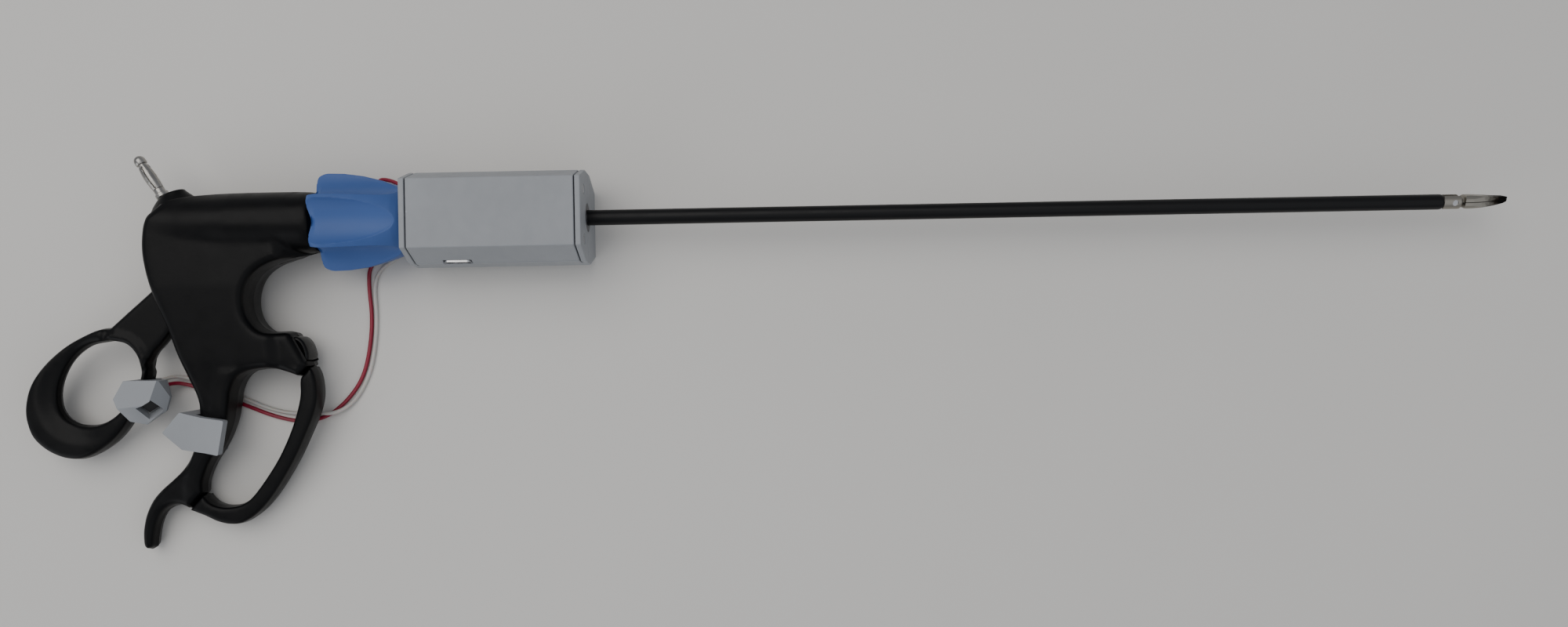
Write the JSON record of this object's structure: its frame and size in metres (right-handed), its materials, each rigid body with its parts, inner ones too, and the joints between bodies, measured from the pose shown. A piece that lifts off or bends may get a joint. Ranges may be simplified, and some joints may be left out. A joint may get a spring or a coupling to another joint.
{
  "type": "laparoscopic grasper",
  "caption": "Hand-held surgical grasper with ring handle, turning knob, long thin insulated shaft, two curved jaws and a clip-on sensor box with leads.",
  "frame": {"origin": "on the shaft axis at the front face of the sensor box", "axes": "+X along the shaft towards the jaws, +Y across the handle towards the plug, +Z out of the side opposite the one it lies on"},
  "size_m": [0.4891, 0.1312, 0.0296],
  "materials": {
    "handle_plastic": "satin black moulding",
    "button_plastic": "satin black moulding",
    "pin_steel": "turned steel",
    "spring_steel": "spring steel",
    "plug_nickel": "nickel plated",
    "printed_grey": "fine matt 3-D print",
    "bush_plastic": "smooth low-friction plastic",
    "board_green": "solder mask",
    "cell_wrap": "foil pouch",
    "port_steel": "drawn steel shell",
    "port_black": "black moulding",
    "magnet": "nickel plated magnet",
    "wire_red": "soft silicone",
    "wire_white": "soft silicone",
    "knob_blue": "semi-gloss moulding",
    "pawl_plastic": "natural acetal",
    "insulation_black": "smooth heat-shrunk sleeve",
    "tube_steel": "drawn stainless tube",
    "jaw_steel": "passivated stainless steel"
  },
  "bodies": {
    "handle": {"handle_shell_upper": "handle_plastic", "handle_shell_lower": "handle_plastic", "finger_loop": "handle_plastic", "lever_pivot_pin": "pin_steel", "pawl_pin": "pin_steel", "button_spring": "spring_steel", "plug_core": "plug_nickel", "plug_collar": "plug_nickel", "plug_cage": "plug_nickel", "contact_strip": "spring_steel", "box_base": "printed_grey", "box_cover": "printed_grey", "box_front_plate": "printed_grey", "box_rear_plate": "printed_grey", "box_screws": "pin_steel", "bush_front": "bush_plastic", "bush_rear": "bush_plastic", "circuit_board": "board_green", "battery_cell": "cell_wrap", "port_shell": "port_steel", "port_tongue": "port_black", "sensor_clip_finger": "printed_grey", "target_magnet": "magnet", "red_wire": "wire_red", "white_wire": "wire_white"},
    "thumb_lever": {"thumb_lever": "handle_plastic", "sensor_clip_thumb": "printed_grey", "gap_sensor": "port_black"},
    "shaft": {"rotation_knob": "knob_blue", "shaft_tube": "tube_steel", "shaft_insulation": "insulation_black", "clevis": "jaw_steel", "jaw_pivot_pin": "pin_steel"},
    "rod": {"push_rod": "tube_steel", "rod_spool": "tube_steel", "drive_pin": "pin_steel"},
    "jaw_upper": {"jaw_upper": "jaw_steel"},
    "jaw_lower": {"jaw_lower": "jaw_steel"},
    "release_button": {"release_button": "button_plastic"},
    "ratchet_pawl": {"ratchet_pawl": "pawl_plastic"}
  },
  "joints": [
    {"name": "lever_swing", "type": "hinge", "parent": "handle", "child": "thumb_lever", "pos_m": [-0.1195, -0.00696, -0.00071], "axis": [0, 0.1011, -0.9949], "range_deg": [0, 20]},
    {"name": "shaft_turn", "type": "hinge", "parent": "handle", "child": "shaft", "pos_m": [-0.07, 0, 0], "axis": [1, 0, 0], "continuous": true},
    {"name": "rod_slide", "type": "slide", "parent": "shaft", "child": "rod", "axis": [1, 0, 0], "range_m": [0, 0.00244]},
    {"name": "jaw_upper_swing", "type": "hinge", "parent": "shaft", "child": "jaw_upper", "pos_m": [0.2833, 0, 0], "axis": [0, -0.3746, 0.9272], "range_deg": [0, 26.01]},
    {"name": "jaw_lower_swing", "type": "hinge", "parent": "shaft", "child": "jaw_lower", "pos_m": [0.2833, 0, 0], "axis": [0, 0.3746, -0.9272], "range_deg": [0, 26.01]},
    {"name": "button_press", "type": "slide", "parent": "handle", "child": "release_button", "axis": [-1, 0, 0], "range_m": [0, 0.002], "stiffness_N_per_m": 600, "springref_m": -0.001, "deforming": ["button_spring"]},
    {"name": "pawl_swing", "type": "hinge", "parent": "handle", "child": "ratchet_pawl", "pos_m": [-0.1282, -0.03572, -0.00363], "axis": [0, 0.1011, -0.9949], "range_deg": [0, 24.1]}
  ],
  "couplings": [
    {"joint": "rod_slide", "follows": "lever_swing", "m_per_rad": 0.007},
    {"joint": "jaw_upper_swing", "follows": "lever_swing", "ratio": 1.3},
    {"joint": "jaw_lower_swing", "follows": "lever_swing", "ratio": 1.3},
    {"joint": "pawl_swing", "follows": "button_press", "rad_per_m": 210}
  ]
}
